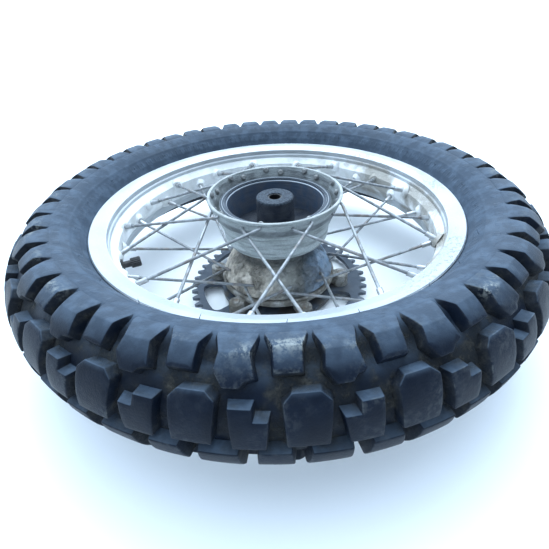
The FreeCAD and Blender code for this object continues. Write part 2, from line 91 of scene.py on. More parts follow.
def set_attribute(piece, name, values):
    """One number per point of the mesh, for the material to read."""
    attribute = piece.data.attributes.new(name, "FLOAT", "POINT")
    attribute.data.foreach_set("value", values)


def polar(radius, angle, height):
    """Point at a radius, an angle in degrees and a height over the middle plane."""
    turn = math.radians(angle)
    return Vector((radius * math.cos(turn), radius * math.sin(turn), MID + height))


def lathe(profile, steps):
    """Points and faces of a closed outline turned about the spin axis."""
    verts = []
    faces = []
    count = len(profile)
    for i in range(steps):
        verts += [polar(r, 360.0 * i / steps, z) for r, z in profile]
    for i in range(steps):
        here, after = i * count, (i + 1) % steps * count
        for j in range(count):
            k = (j + 1) % count
            faces.append((here + j, after + j, after + k, here + k))
    return verts, faces


# ---- material helpers -----------------------------------------------------------------------
class Look:
    """A procedural material, built up from noises, masks and mixes."""

    def __init__(self, name, metallic=0.0, roughness=0.5):
        self.material = bpy.data.materials.new(name)
        self.material.use_nodes = True
        self.tree = self.material.node_tree
        self.shader = self.tree.nodes["Principled BSDF"]
        self.shader.inputs["Metallic"].default_value = metallic
        self.shader.inputs["Roughness"].default_value = roughness
        self.place = self.node("ShaderNodeTexCoord").outputs["Object"]

    def node(self, kind):
        """A new node of the tree."""
        return self.tree.nodes.new(kind)

    def join(self, source, target):
        """Link from an output, or set a plain value."""
        if isinstance(source, bpy.types.NodeSocket):
            self.tree.links.new(source, target)
        else:
            target.default_value = source

    def scaled_place(self, scale):
        """Object position, stretched by three factors."""
        mapping = self.node("ShaderNodeMapping")
        mapping.inputs["Scale"].default_value = scale
        self.join(self.place, mapping.inputs["Vector"])
        return mapping.outputs["Vector"]

    def noise(self, size, low, high, detail=4.0, rough=0.55, place=None):
        """0 to 1 pattern with features of about this size, in metres."""
        tex = self.node("ShaderNodeTexNoise")
        tex.inputs["Scale"].default_value = 1.0 / size
        tex.inputs["Detail"].default_value = detail
        tex.inputs["Roughness"].default_value = rough
        self.join(place or self.place, tex.inputs["Vector"])
        return self.ramp(tex.outputs["Fac"], low, high)

    def ramp(self, value, low, high):
        """Smooth rise from 0 at low to 1 at high."""
        step = self.node("ShaderNodeMapRange")
        step.interpolation_type = "SMOOTHSTEP"
        self.join(value, step.inputs["Value"])
        step.inputs["From Min"].default_value = min(low, high)
        step.inputs["From Max"].default_value = max(low, high)
        step.inputs["To Min"].default_value = 0.0 if low < high else 1.0
        step.inputs["To Max"].default_value = 1.0 if low < high else 0.0
        return step.outputs["Result"]

    def math(self, kind, a, b):
        """Arithmetic on two numbers or outputs."""
        sum_node = self.node("ShaderNodeMath")
        sum_node.operation = kind
        self.join(a, sum_node.inputs[0])
        self.join(b, sum_node.inputs[1])
        return sum_node.outputs["Value"]

    def times(self, first, *others):
        """Product of numbers and outputs."""
        for other in others:
            first = self.math("MULTIPLY", first, other)
        return first

    def plus(self, a, b):
        """Sum of two numbers or outputs."""
        return self.math("ADD", a, b)

    def minus(self, a, b):
        """Difference of two numbers or outputs."""
        return self.math("SUBTRACT", a, b)

    def band(self, value, start, full, fade, end):
        """Smooth rise from 0 to 1 between start and full, and back to 0 between fade and end."""
        return self.times(self.ramp(value, start, full), self.ramp(value, end, fade))

    def axis(self, name):
        """One coordinate of the position, or the distance from the spin axis."""
        split = self.node("ShaderNodeSeparateXYZ")
        self.join(self.place, split.inputs["Vector"])
        if name != "R":
            return split.outputs[name]
        squares = [self.times(split.outputs[a], split.outputs[a]) for a in "XY"]
        return self.math("SQRT", self.plus(*squares), 0.0)

    def upward(self, low, high):
        """0 to 1 as the surface turns from sideways to face up."""
        split = self.node("ShaderNodeSeparateXYZ")
        self.join(self.node("ShaderNodeNewGeometry").outputs["Normal"], split.inputs["Vector"])
        return self.ramp(split.outputs["Z"], low, high)

    def ticks(self, count):
        """Short raised lines, evenly spaced round the spin axis."""
        turn = self.node("ShaderNodeTexGradient")
        turn.gradient_type = "RADIAL"
        self.join(self.place, turn.inputs["Vector"])
        wave = self.math("PINGPONG", self.times(turn.outputs["Fac"], 2.0 * count), 1.0)
        return self.ramp(wave, 0.62, 0.78)

    def ring(self, inner, outer):
        """1 between two radii, 0 elsewhere."""
        soft = 0.0004
        return self.band(self.axis("R"), inner - soft, inner, outer - soft, outer)

    def attribute(self, name):
        """Number stored on the mesh."""
        reader = self.node("ShaderNodeAttribute")
        reader.attribute_name = name
        return reader.outputs["Fac"]

    def blend(self, factor, first, second):
        """Colour or number between two others."""
        mixer = self.node("ShaderNodeMix")
        mixer.data_type = "RGBA"
        self.join(factor, mixer.inputs["Factor"])
        self.join(self.colour(first), mixer.inputs["A"])
        self.join(self.colour(second), mixer.inputs["B"])
        return mixer.outputs["Result"]

    @staticmethod
    def colour(value):
        """Three numbers as a colour with alpha."""
        if isinstance(value, bpy.types.NodeSocket):
            return value
        if isinstance(value, (int, float)):
            value = (value, value, value)
        return (*value, 1.0)

    def base(self, value):
        """Sets the base colour."""
        self.join(self.colour(value), self.shader.inputs["Base Color"])

    def rough(self, value):
        """Sets the roughness."""
        self.join(value, self.shader.inputs["Roughness"])

    def metal(self, value):
        """Sets how metallic the surface is."""
        self.join(value, self.shader.inputs["Metallic"])

    def bump(self, height, depth):
        """Fine relief of this depth in metres, over any relief set before."""
        bump = self.node("ShaderNodeBump")
        bump.inputs["Strength"].default_value = 1.0
        bump.inputs["Distance"].default_value = depth
        self.join(height, bump.inputs["Height"])
        before = self.shader.inputs["Normal"]
        if before.is_linked:
            self.tree.links.new(before.links[0].from_socket, bump.inputs["Normal"])
        self.tree.links.new(bump.outputs["Normal"], before)


def tyre_look():
    """Worn black rubber: dusty, with a painted sheen, where it faces up, scuffed at its edges, soil in the gaps.
    """
    look = Look("tyre_rubber", roughness=0.5)
    fine = look.noise(0.0014, 0.35, 0.65)
    broad = look.noise(0.045, 0.38, 0.62)
    patch = look.noise(0.014, 0.40, 0.66, detail=8.0)
    rubber = look.blend(broad, (0.0030, 0.0060, 0.0130), (0.0050, 0.0095, 0.0200))
    rubber = look.blend(look.times(patch, 0.06), rubber, (0.040, 0.050, 0.064))
    # Surfaces that face up, and the lower side wall near the bead, turn pale blue-grey: dust, and a painted sheen
    # of the bright sky.
    bead = look.times(look.upward(0.15, 0.45), look.ramp(look.axis("R"), 0.272, 0.260))
    level = look.math("MAXIMUM", look.upward(0.66, 0.97), bead)
    # dust carries both the dust and the painted sheen.
    dust = look.times(level, look.plus(0.55, look.times(patch, 0.35)))
    rubber = look.blend(dust, rubber, (0.066, 0.096, 0.138))
    streak = look.noise(0.0055, 0.44, 0.62, detail=9.0, rough=0.7)
    region = look.noise(0.045, 0.46, 0.62, detail=2.0)
    scuff = look.times(look.attribute("wear"), streak, region)
    rubber = look.blend(look.times(scuff, 0.9), rubber, (0.36, 0.38, 0.36))
    crumbs = look.noise(0.009, 0.44, 0.68, detail=10.0, rough=0.7)
    stain = look.noise(0.030, 0.36, 0.60, detail=6.0)
    soil = look.times(look.attribute("soil"), stain)
    rubber = look.blend(look.times(soil, 0.70), rubber, (0.022, 0.024, 0.025))
    crusts = look.times(soil, crumbs)
    rubber = look.blend(look.times(crusts, 0.45), rubber, (0.100, 0.094, 0.078))
    look.base(rubber)
    dull = look.plus(look.times(soil, 0.30), look.times(broad, 0.10))
    look.rough(look.plus(dull, 0.42))
    look.shader.inputs["Specular IOR Level"].default_value = 0.11
    look.bump(fine, 0.00007)
    look.bump(patch, 0.00010)
    look.bump(crusts, 0.0008)
    look.bump(look.times(look.ticks(180), look.ring(0.2375, 0.2425)), 0.0004)
    look.bump(look.times(look.ticks(72), look.ring(0.2540, 0.2600)), 0.0003)
    return look.material


def rim_look():
    """Aluminium: bright sides, pale oxidised face towards the hub with grey-brown stains."""
    look = Look("rim_alloy", metallic=0.6, roughness=0.35)
    radius = look.axis("R")
    height = look.math("ABSOLUTE", look.minus(look.axis("Z"), MID), 0.0)
    inside = look.ramp(radius, 0.2128, 0.2108)
    groove = look.band(height, 0.0165, 0.0185, 0.0280, 0.0300)
    blotch = look.noise(0.028, 0.40, 0.64, detail=9.0)
    speck = look.noise(0.003, 0.52, 0.68, detail=6.0)
    metal = look.blend(look.noise(0.09, 0.3, 0.7), (0.46, 0.49, 0.515), (0.39, 0.42, 0.45))
    metal = look.blend(look.times(speck, 0.30), metal, (0.50, 0.50, 0.49))
    pale = look.blend(look.times(blotch, 0.60), (0.90, 0.92, 0.93), (0.60, 0.61, 0.59))
    pale = look.blend(look.times(groove, 0.65), pale, (0.36, 0.40, 0.44))
    right = look.ramp(look.axis("X"), 0.02, 0.17)
    mud = look.times(right, look.noise(0.05, 0.42, 0.58, detail=8.0))
    pale = look.blend(look.times(mud, 0.75), pale, (0.25, 0.22, 0.175))
    look.base(look.blend(inside, metal, pale))
    look.metal(look.minus(0.75, look.times(inside, 0.60)))
    look.rough(look.plus(0.30, look.times(inside, 0.25)))
    turned = look.node("ShaderNodeTexWave")
    turned.wave_type = "RINGS"
    turned.rings_direction = "Z"
    turned.inputs["Scale"].default_value = 260.0
    turned.inputs["Distortion"].default_value = 1.5
    look.join(look.place, turned.inputs["Vector"])
    look.bump(turned.outputs["Fac"], 0.00004)
    look.bump(speck, 0.0001)
    look.bump(look.times(mud, speck), 0.0004)
    return look.material


def hub_look():
    """Cast aluminium hub: dusty cup, pale lip, dark drum floor and boss, soil on the skirt; a painted shadow
    below the neck, painted blue cool light on the skirt's right side, and painted shade with thin painted
    highlight rings at the drum mouth.
    """
    look = Look("hub_casting", metallic=0.2, roughness=0.6)
    look.shader.inputs["Specular IOR Level"].default_value = 0.28
    grain = look.noise(0.0020, 0.35, 0.65, detail=6.0)
    broad = look.noise(0.020, 0.36, 0.62, detail=9.0)
    lumps = look.noise(0.009, 0.35, 0.65, detail=6.0)
    flowed = look.scaled_place((0.35, 0.35, 2.6))
    streaks = look.noise(0.012, 0.44, 0.66, detail=9.0, rough=0.65, place=flowed)
    height = look.axis("Z")
    radius = look.axis("R")
    across = look.axis("X")

    alloy = look.blend(grain, (0.42, 0.47, 0.48), (0.53, 0.57, 0.57))
    alloy = look.blend(look.times(streaks, 0.7), alloy, (0.19, 0.21, 0.21))
    low = look.ramp(height, MID - 0.008, MID - 0.018)
    left = look.times(low, look.ramp(across, 0.010, -0.035))
    right = look.times(low, look.ramp(across, 0.020, 0.045))
    skirt = look.blend(broad, (0.18, 0.19, 0.19), (0.38, 0.38, 0.35))
    patch = look.noise(0.026, 0.46, 0.62, detail=9.0, rough=0.62)
    brown = look.blend(lumps, (0.74, 0.67, 0.58), (0.46, 0.41, 0.34))
    # Painted light: the right side of the skirt is tinted blue, the cast of the cool light.
    blue = look.blend(broad, (0.20, 0.30, 0.42), (0.27, 0.34, 0.43))
    skirt = look.blend(right, look.blend(left, skirt, brown), blue)
    skirt = look.blend(look.times(patch, 0.60), skirt, (0.090, 0.090, 0.085))
    # Painted shadow: a dark band across the top of the skirt, just below the neck.
    neck_shadow = look.band(height, MID - 0.036, MID - 0.030, MID - 0.018, MID - 0.012)
    skirt = look.blend(look.times(neck_shadow, 0.7), skirt, (0.09, 0.10, 0.105))
    alloy = look.blend(low, alloy, skirt)
    gutter = look.times(look.ramp(height, MID + 0.026, MID + 0.030), look.ramp(radius, 0.0835, 0.0815))
    silt = look.blend(broad, (0.29, 0.32, 0.33), (0.145, 0.16, 0.17))
    alloy = look.blend(gutter, alloy, silt)
    lip = look.times(look.ramp(height, MID + 0.0488, MID + 0.0500), look.ramp(radius, 0.082, 0.0835))
    worn = look.blend(broad, (0.46, 0.48, 0.48), (0.30, 0.31, 0.30))
    alloy = look.blend(look.times(lip, 0.7), alloy, worn)
    # Painted shade: the mouth of the drum is coloured nearly black.
    mouth_low, mouth_top = MID + 0.0380, MID + 0.0392
    mouth = look.times(look.ramp(height, mouth_low, mouth_top), look.ramp(radius, 0.0742, 0.0728))
    alloy = look.blend(mouth, alloy, (0.060, 0.075, 0.095))
    # Painted highlights: two thin bright rings along the edges of the mouth.
    outer = look.band(radius, 0.0716, 0.0719, 0.0724, 0.0727)
    inner = look.band(radius, 0.0684, 0.0687, 0.0692, 0.0695)
    edge = look.times(mouth, look.math("MAXIMUM", outer, look.times(inner, 0.7)))
    alloy = look.blend(look.times(edge, 0.8), alloy, (0.50, 0.53, 0.56))
    core = look.ramp(radius, 0.0660, 0.0650)
    bowl = look.times(core, look.ramp(height, MID - 0.006, MID - 0.004))
    alloy = look.blend(bowl, alloy, look.blend(broad, (0.022, 0.028, 0.042), (0.050, 0.055, 0.066)))
    boss_top = look.times(bowl, look.ramp(height, MID + 0.0405, MID + 0.0420))
    alloy = look.blend(boss_top, alloy, look.blend(grain, (0.012, 0.019, 0.032), (0.050, 0.068, 0.090)))
    look.base(alloy)
    look.metal(look.plus(0.06, look.times(edge, 0.4)))
    look.rough(look.minus(0.64, look.times(edge, 0.25)))
    look.bump(grain, 0.00035)
    look.bump(look.times(lumps, low), 0.0030)
    look.bump(look.times(patch, low), 0.0060)
    look.bump(streaks, 0.0005)
    return look.material


def flange_look():
    """Cast flange and its lugs, caked with brown soil and grease."""
    look = Look("flange_casting", metallic=0.2, roughness=0.7)
    grain = look.noise(0.0022, 0.35, 0.65, detail=6.0)
    broad = look.noise(0.016, 0.36, 0.60, detail=9.0)
    alloy = look.blend(grain, (0.30, 0.30, 0.29), (0.42, 0.41, 0.38))
    look.base(look.blend(look.times(broad, 0.85), alloy, (0.115, 0.100, 0.078)))
    look.metal(0.15)
    look.rough(look.plus(0.60, look.times(broad, 0.25)))
    look.bump(grain, 0.0004)
    look.bump(broad, 0.0010)
    return look.material


def drum_look():
    """Cast iron braking ring: dark blue film inside; at its mouth, thin bright rings painted as highlights on its
    turned edges, with painted shade between them.
    """
    look = Look("drum_iron", metallic=0.5, roughness=0.4)
    height = look.axis("Z")
    radius = look.axis("R")
    film = look.noise(0.014, 0.35, 0.65, detail=6.0)
    rings = look.noise(0.0012, 0.40, 0.60, place=look.scaled_place((0.02, 0.02, 1.0)))
    inside = look.blend(film, (0.085, 0.125, 0.190), (0.120, 0.140, 0.180))
    mouth = look.ramp(height, MID + 0.0360, MID + 0.0372)
    # Painted highlights at the inner and outer edges of the mouth, painted shade in the band between them.
    ridge = look.math("MAXIMUM", look.ramp(radius, 0.0660, 0.0663), look.ramp(radius, 0.0633, 0.0630))
    ring = look.blend(ridge, (0.045, 0.058, 0.080), (0.34, 0.38, 0.42))
    look.base(look.blend(mouth, inside, ring))
    look.metal(0.45)
    look.rough(look.minus(0.50, look.times(mouth, 0.12)))
    look.bump(rings, 0.00015)
    return look.material


def steel_look(name, light, dark, roughness, rust=0.0, metallic=0.9, size=0.008, soiled=None):
    """Plated or bare steel with dull patches and spots of rust.

    soiled is a mask function and the colours of the dirt that it spreads over the steel.
    """
    look = Look(name, metallic=metallic, roughness=roughness)
    patch = look.noise(size, 0.36, 0.64, detail=6.0)
    speck = look.noise(0.0012, 0.5, 0.68, detail=4.0)
    metal = look.blend(patch, light, dark)
    spots = look.times(look.noise(size * 1.7, 0.50, 0.66, detail=8.0), rust)
    metal = look.blend(spots, metal, (0.19, 0.12, 0.07))
    bare = look.minus(metallic, look.times(spots, metallic * 0.8))
    if soiled:
        mask, thin_dirt, thick_dirt = soiled
        dirt = mask(look)
        metal = look.blend(dirt, metal, look.blend(patch, thin_dirt, thick_dirt))
        bare = look.times(bare, look.minus(1.0, dirt))
    look.base(metal)
    look.metal(bare)
    look.rough(look.plus(roughness, look.times(patch, 0.18)))
    look.bump(speck, 0.00006)
    look.bump(patch, 0.0001)
    return look.material


def dark_bore(look):
    """Mask of the greasy bore of a bearing's inner ring."""
    return look.ramp(look.axis("R"), 0.0092, 0.0090)


def spoke_heads(look):
    """Mask of the spoke heads in the dirty gutter of the cup."""
    high = look.ramp(look.axis("Z"), MID + 0.026, MID + 0.029)
    return look.times(high, look.ramp(look.axis("R"), 0.0840, 0.0825))


def sprocket_look():
    """Dark blue-grey steel, greasy in the middle and polished by the chain on its teeth."""
    look = Look("sprocket_steel", metallic=0.4, roughness=0.5)
    radius = look.axis("R")
    patch = look.noise(0.014, 0.36, 0.64, detail=8.0)
    steel = look.blend(patch, (0.045, 0.060, 0.085), (0.080, 0.098, 0.125))
    middle = look.ramp(radius, 0.112, 0.088)
    grease = look.times(middle, look.noise(0.02, 0.42, 0.62, detail=8.0))
    steel = look.blend(look.times(grease, 0.8), steel, (0.060, 0.050, 0.038))
    teeth = look.ramp(radius, 0.1185, 0.1215)
    look.base(look.blend(look.times(teeth, 0.35), steel, (0.20, 0.23, 0.27)))
    look.metal(look.minus(0.40, look.times(grease, 0.3)))
    look.rough(look.plus(0.46, look.times(patch, 0.2)))
    look.bump(patch, 0.0002)
    return look.material


def rubber_look(name, light, dark, roughness, depth):
    """Matt moulded rubber or plastic with a fine grain and dusty patches."""
    look = Look(name, roughness=roughness)
    grain = look.noise(0.0009, 0.38, 0.62)
    dust = look.noise(0.006, 0.42, 0.66, detail=6.0)
    look.base(look.blend(dust, dark, light))
    look.rough(look.plus(roughness, look.times(dust, 0.2)))
    look.bump(grain, depth)
    return look.material


STEELS = {  # lighter colour, darker colour, roughness, other settings
    "spoke_steel": ((0.30, 0.32, 0.34), (0.19, 0.20, 0.21), 0.42,
                    dict(rust=0.4, metallic=0.55, soiled=(spoke_heads, (0.20, 0.21, 0.21), (0.11, 0.115, 0.12)))),
    "nipple_plating": ((0.50, 0.52, 0.54), (0.38, 0.39, 0.40), 0.34, dict(rust=0.2)),
    "fastener_steel": ((0.30, 0.29, 0.27), (0.15, 0.135, 0.115), 0.5, dict(rust=0.7, metallic=0.4)),
    "bearing_steel": ((0.50, 0.51, 0.53), (0.36, 0.37, 0.39), 0.28,
                      dict(soiled=(dark_bore, (0.012, 0.012, 0.014), (0.006, 0.006, 0.007)))),
    "cage_steel": ((0.52, 0.50, 0.46), (0.36, 0.34, 0.30), 0.35, {}),
    "spacer_steel": ((0.20, 0.20, 0.21), (0.10, 0.10, 0.10), 0.45, dict(rust=0.4)),
    "valve_metal": ((0.62, 0.50, 0.26), (0.42, 0.32, 0.16), 0.35, {}),
}
RUBBERS = {  # dusty colour, clean colour, roughness, depth of the grain
    "black_rubber": ((0.050, 0.048, 0.045), (0.016, 0.016, 0.017), 0.6, 0.00015),
    "tube_rubber": ((0.060, 0.060, 0.060), (0.022, 0.022, 0.023), 0.6, 0.00015),
    "tape_rubber": ((0.120, 0.105, 0.085), (0.050, 0.043, 0.036), 0.6, 0.00015),
    "valve_stem_black": ((0.050, 0.050, 0.052), (0.018, 0.018, 0.020), 0.5, 0.00015),
    "cap_plastic": ((0.040, 0.041, 0.045), (0.012, 0.012, 0.014), 0.38, 0.00008),
}
looks = {
    "tyre_rubber": tyre_look(),
    "rim_alloy": rim_look(),
    "hub_casting": hub_look(),
    "flange_casting": flange_look(),
    "drum_iron": drum_look(),
    "sprocket_steel": sprocket_look(),
}
for name, (light, dark, roughness, settings) in STEELS.items():
    looks[name] = steel_look(name, light, dark, roughness, **settings)
for name, (light, dark, roughness, depth) in RUBBERS.items():
    looks[name] = rubber_look(name, light, dark, roughness, depth)
slots = {entry["node"]: entry["material_slot"] for entry in frame["record"]["subparts"]}
for name, node in nodes.items():
    node.data.materials.clear()
    node.data.materials.append(looks[slots[name]])


# ---- tyre ---------------------------------------------------------------------------------
def smooth_step(value, low, high):
    """0 below low, 1 above high, smooth between."""
    share = min(1.0, max(0.0, (value - low) / (high - low)))
    return share * share * (3 - 2 * share)


def skin_point(across, around, proud):
    """Point of the tyre's outer surface. across is 0 at the crown and 90 where it is widest."""
    lean = math.radians(across)
    reach = CROWN if abs(across) < 90 else BEAD
    out, up = math.cos(lean) / reach, math.sin(lean) / HALF_WIDTH
    size = math.hypot(out, up)
    radius = ROUND_R + reach * math.cos(lean) + out / size * proud
    return polar(radius, around, HALF_WIDTH * math.sin(lean) + up / size * proud)


def gap_depth(across):
    """Depth of the gaps between blocks; it runs out to nothing on the side wall."""
    return TREAD_DEPTH * (1 - smooth_step(abs(across), 66, 98))


def make_carcass():
    """Side walls, beads and the floor of the tread, as one closed ring."""
    profile = []
    soil = []
    for i in range(-WALL_STEPS, WALL_STEPS + 1):
        across = BEAD_ANGLE * i / WALL_STEPS
        rib = 0.0006 * (1 - smooth_step(abs(abs(across) - 121.0), 0.6, 2.4))
        line = 0.0005 * (1 - smooth_step(abs(abs(across) - 136.0), 0.5, 1.8))
        point = skin_point(across, 0, rib + line - gap_depth(across))
        profile.append((point.x, point.z - MID))
        soil.append(1 - smooth_step(abs(across), 76, 92))
    inner = [(0.2296, 0.0290), (0.2180, 0.0266), (0.2180, 0.0135), (0.2350, 0.0260),
             (0.2600, 0.0480), (0.2900, 0.0420), (0.3010, 0.0200)]
    inner += [(r, -z) for r, z in reversed(inner)]
    profile += inner
    soil += [0.0] * len(inner)
    verts, faces = lathe(profile, TURN_STEPS)
    return verts, faces, soil * TURN_STEPS


class Block:
    """One kind of tread block: its outline and how its sides slope.

    Four rings of points go up its sides: the foot, the side, the bevel and the edge of the top.
    """

    BEVEL_INSETS = (0.0, 0.35, 1.0)               # millimetres, without the foot
    PROUD = (None, -0.0009, -0.00025, 0.0)        # over the tread, in metres
    WEAR = (0.0, 0.05, 0.25, 0.12)
    SOIL = (1.0, 0.35, 0.06, 0.0)
    TOP_SPACING = 4.0                             # millimetres between points of the top
    CREASE_SPACING = 2.0                          # millimetres along the crease
    CREASE_HALF = 0.9                             # degrees from the crease to the row beside it

    def __init__(self, corners, draft, top_draft, crease=None):
        self.crease = crease
        self.mid_around = sum(c[0] for c in corners) / len(corners)
        self.mid_across = sum(c[1] for c in corners) / len(corners)
        lean = math.radians(self.mid_across)
        self.per_degree = math.radians(ROUND_R + CROWN * math.cos(lean)) / MM
        outline = [Vector((self.flat_x(a), t)) for a, t in corners]
        slopes = []
        for i, corner in enumerate(outline):
            side = outline[(i + 1) % len(outline)] - corner
            slopes.append(top_draft if side.x < -abs(side.y) else draft)
        deep = [-TREAD_DEPTH / MM * math.tan(math.radians(s)) for s in slopes]
        insets = [deep] + [[inset] * len(outline) for inset in self.BEVEL_INSETS]
        self.rings = [self.rounded(self.inset(outline, distances)) for distances in insets]
        self.fill()

    def flat_x(self, around):
        """Millimetres along the circumference, from the block's middle."""
        return (around - self.mid_around) * self.per_degree

    @staticmethod
    def inset(outline, distances):
        """Outline with each side moved inwards by its own distance."""
        lines = []
        for i, start in enumerate(outline):
            way = (outline[(i + 1) % len(outline)] - start).normalized()
            lines.append((start + Vector((-way.y, way.x)) * distances[i], way))
        moved = []
        for i, (point, way) in enumerate(lines):
            last_point, last_way = lines[i - 1]
            cross = last_way.x * way.y - last_way.y * way.x
            gap = point - last_point
            moved.append(last_point + last_way * ((gap.x * way.y - gap.y * way.x) / cross))
        return moved

    @staticmethod
    def rounded(outline, radius=0.9, pieces=5):
        """Outline with rounded corners and evenly divided sides."""
        points = []
        for i, corner in enumerate(outline):
            before, after = outline[i - 1], outline[(i + 1) % len(outline)]
            start = corner + (before - corner).normalized() * radius
            end = corner + (after - corner).normalized() * radius
            points += [start, (start + corner * 2 + end) / 4, end]
            stop = after + (corner - after).normalized() * radius
            points += [end.lerp(stop, k / pieces) for k in range(1, pieces)]
        return points

    def fill(self):
        """Triangles of the top, with points inside so that it can follow the tyre's curve."""
        edge = self.rings[-1]
        count = len(edge)
        inside = self.grid(edge)
        if self.crease:
            for offset in (-self.CREASE_HALF, 0.0, self.CREASE_HALF):
                inside += self.row(edge, self.crease[1] + offset)
        loops = [(i, (i + 1) % count) for i in range(count)]
        result = geometry.delaunay_2d_cdt(edge + inside, loops, [], 1, 1e-5)
        self.top_points = [Vector(p) for p in result[0]]
        self.top_faces = [tuple(face) for face in result[2]]

    def grid(self, edge):
        """Points inside the top, clear of its edge and its crease."""
        low_x, low_y = min(p.x for p in edge), min(p.y for p in edge)
        columns = int((max(p.x for p in edge) - low_x) / self.TOP_SPACING)
        rows = int((max(p.y for p in edge) - low_y) / self.TOP_SPACING)
        points = []
        for i in range(columns):
            for j in range(rows):
                x, y = low_x + self.TOP_SPACING * (i + 0.7), low_y + self.TOP_SPACING * (j + 0.7)
                clear = self.crease is None or abs(y - self.crease[1]) > 1.6
                if clear and self.holds(edge, Vector((x, y)), 1.4):
                    points.append(Vector((x, y)))
        return points

    def row(self, edge, across):
        """Points inside the top along one line beside or on the crease."""
        low_x = min(p.x for p in edge)
        columns = int((max(p.x for p in edge) - low_x) / self.CREASE_SPACING)
        points = [Vector((low_x + self.CREASE_SPACING * (i + 0.6), across)) for i in range(columns)]
        return [point for point in points if self.holds(edge, point, 0.7)]

    @staticmethod
    def holds(outline, point, margin):
        """Whether a point lies inside an outline, clear of its sides."""
        crossings = 0
        for i, a in enumerate(outline):
            b = outline[i - 1]
            near = geometry.intersect_point_line(point, a, b)
            spot = a + (b - a) * min(1, max(0, near[1]))
            if (spot - point).length < margin:
                return False
            if (a.y > point.y) != (b.y > point.y):
                if point.x < (b.x - a.x) * (point.y - a.y) / (b.y - a.y) + a.x:
                    crossings += 1
        return crossings % 2 == 1

    def height(self, across):
        """How proud the top stands of the tyre's round skin, in metres."""
        if self.crease is None:
            return 0.0
        low, ridge, high = self.crease
        if across < ridge:
            return RIDGE * max(0.0, (across - low) / (ridge - low))
        return RIDGE * (1 - (across - ridge) / (high - ridge))

    def ridge_wear(self, across):
        """Extra wear just above the crease of a shoulder block."""
        if self.crease is None:
            return 0.0
        return 0.9 * max(0.0, 1 - abs(across - self.crease[1] - 2) / 7)

    def build(self, around, flipped, verts, faces, wear, soil):
        """Adds one block to the lists, on the brake side or flipped to the other side."""
        lift = random.uniform(-0.0006, 0.0)
        shift = random.uniform(-0.25, 0.25)
        sign = -1 if flipped else 1
        first = len(verts)

        def place(point, proud):
            across = point.y
            where = around + (self.mid_around + (point.x + shift) / self.per_degree) * sign
            return skin_point(across * sign, where, proud)

        scar = random.random()
        for ring, proud, worn, dirty in zip(self.rings, self.PROUD, self.WEAR, self.SOIL):
            for point in ring:
                if proud is None:
                    depth, scraped = -gap_depth(point.y) - FOOT, 0.0
                else:
                    depth, scraped = proud + lift + self.height(point.y), self.ridge_wear(point.y)
                verts.append(place(point, depth))
                wear.append(worn * (0.35 + 0.65 * scar) + scraped * scar)
                soil.append(dirty)
        count = len(self.rings[0])
        for k in range(len(self.rings) - 1):
            for i in range(count):
                j = (i + 1) % count
                a, b = first + k * count, first + (k + 1) * count
                faces.append((a + i, a + j, b + j, b + i))
        index = {}
        for i, point in enumerate(self.top_points):
            if i < count:
                index[i] = first + 3 * count + i
                continue
            index[i] = len(verts)
            verts.append(place(point, lift + self.height(point.y)))
            wear.append(TOP_WEAR * (0.4 + scar) + self.ridge_wear(point.y) * scar)
            soil.append(0.0)
        for face in self.top_faces:
            faces.append(tuple(index[i] for i in face))


# Corners run anticlockwise: (degrees round the wheel, degrees across the tyre).
STRAIGHT = Block(
    [(-2.0, 60), (2.0, 60), (2.2, 79), (3.3, 91), (3.4, 99), (-3.4, 99), (-3.3, 91), (-2.2, 79)],
    draft=10, top_draft=4, crease=(60, 79, 97))
POINTED = Block(
    [(-1.3, 49.5), (0.9, 49.5), (1.6, 54), (3.0, 56.5), (2.3, 74), (3.3, 89), (3.4, 99),
     (-3.4, 99), (-3.3, 89), (-2.3, 74), (-2.7, 61.5)],
    draft=10, top_draft=4, crease=(50, 74, 97))
SIX_SIDED = Block(
    [(-0.6, 5), (4.8, 5), (5.4, 39.5), (4.0, 47), (0.2, 47), (-1.0, 39.5)],
    draft=9, top_draft=24)
STEP_LEFT = Block(
    [(0.0, 3), (4.3, 3), (4.7, 27), (2.7, 27), (2.6, 36.5), (-0.5, 36.5)],
    draft=9, top_draft=22)
STEP_RIGHT = Block(
    [(0.0, 3), (4.3, 3), (4.6, 36), (1.5, 36), (1.4, 26.5), (-0.8, 26.5)],
    draft=9, top_draft=22)


def make_tyre():
    """Carcass and all tread blocks, both sides; the lower side is one pitch out of step."""
    verts, faces, soil = make_carcass()
    wear = [0.0] * len(verts)
    for i in range(SHOULDER_PAIRS):
        straight = TREAD_PHASE + 2 * PITCH * i
        pointed = straight - PITCH
        step = STEP_LEFT if i % 2 == 0 else STEP_RIGHT
        row = ((STRAIGHT, straight), (POINTED, pointed), (SIX_SIDED, straight), (step, pointed))
        for block, around in row:
            block.build(around, False, verts, faces, wear, soil)
            block.build(around + PITCH, True, verts, faces, wear, soil)
    tyre = add_piece("tyre_with_tread", verts, faces, "wheel", looks["tyre_rubber"])
    set_attribute(tyre, "wear", wear)
    set_attribute(tyre, "soil", soil)
    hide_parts("tyre")


def hair_facts(flipped):
    """Where one hair stands, how far it leans and its length."""
    around = random.uniform(-2.0, 2.0)
    across = 131.0 - random.uniform(0.0, 3.0)
    lean = random.uniform(-1.0, 1.0)
    length = random.uniform(0.003, 0.0055)
    return around, across * (-1 if flipped else 1), lean, length


